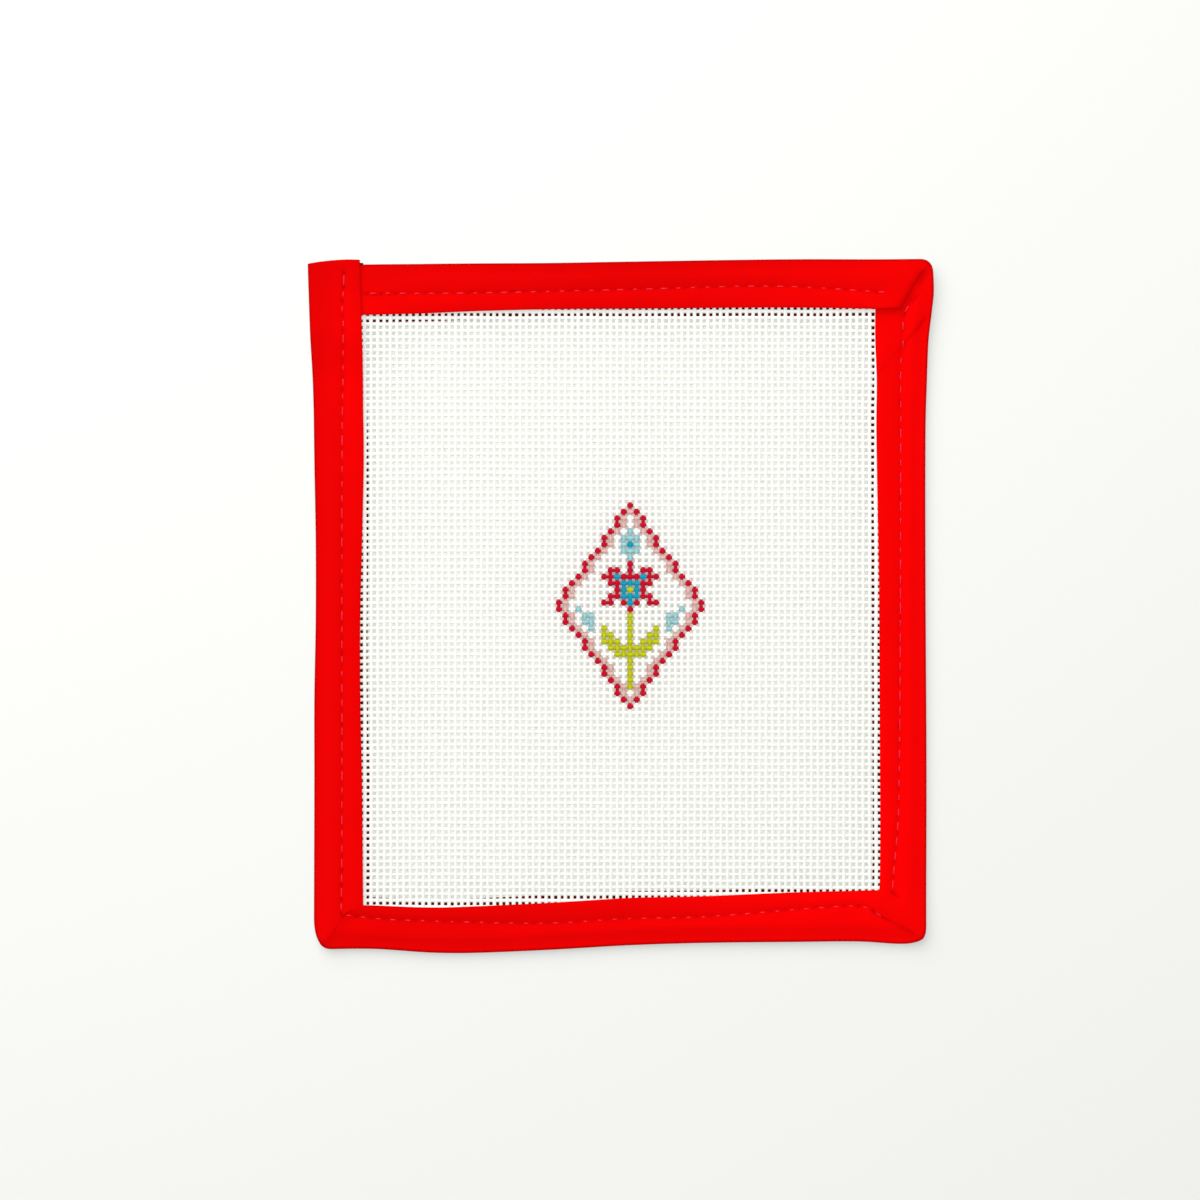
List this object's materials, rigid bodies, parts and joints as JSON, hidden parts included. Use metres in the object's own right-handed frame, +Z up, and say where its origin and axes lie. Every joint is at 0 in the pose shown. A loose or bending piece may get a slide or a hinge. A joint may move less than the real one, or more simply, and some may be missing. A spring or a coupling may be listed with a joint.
{
  "type": "needlepoint canvas panel",
  "caption": "White plain-weave needlepoint canvas panel lying flat, its raw edges bound in folded red bias tape with mitred corners.",
  "frame": {"origin": "middle of the outline, on the surface that the panel lies on", "axes": "+X to the right and +Y to the top of the panel as it is seen from above, +Z up out of its painted face"},
  "size_m": [0.1362, 0.1514, 0.0052],
  "materials": {
    "canvas": "matt stiffened cotton threads",
    "binding": "matt woven cotton tape"
  },
  "bodies": {
    "root": {"canvas": "canvas", "binding_top_tape": "binding", "binding_side_tape": "binding"}
  },
  "joints": []
}
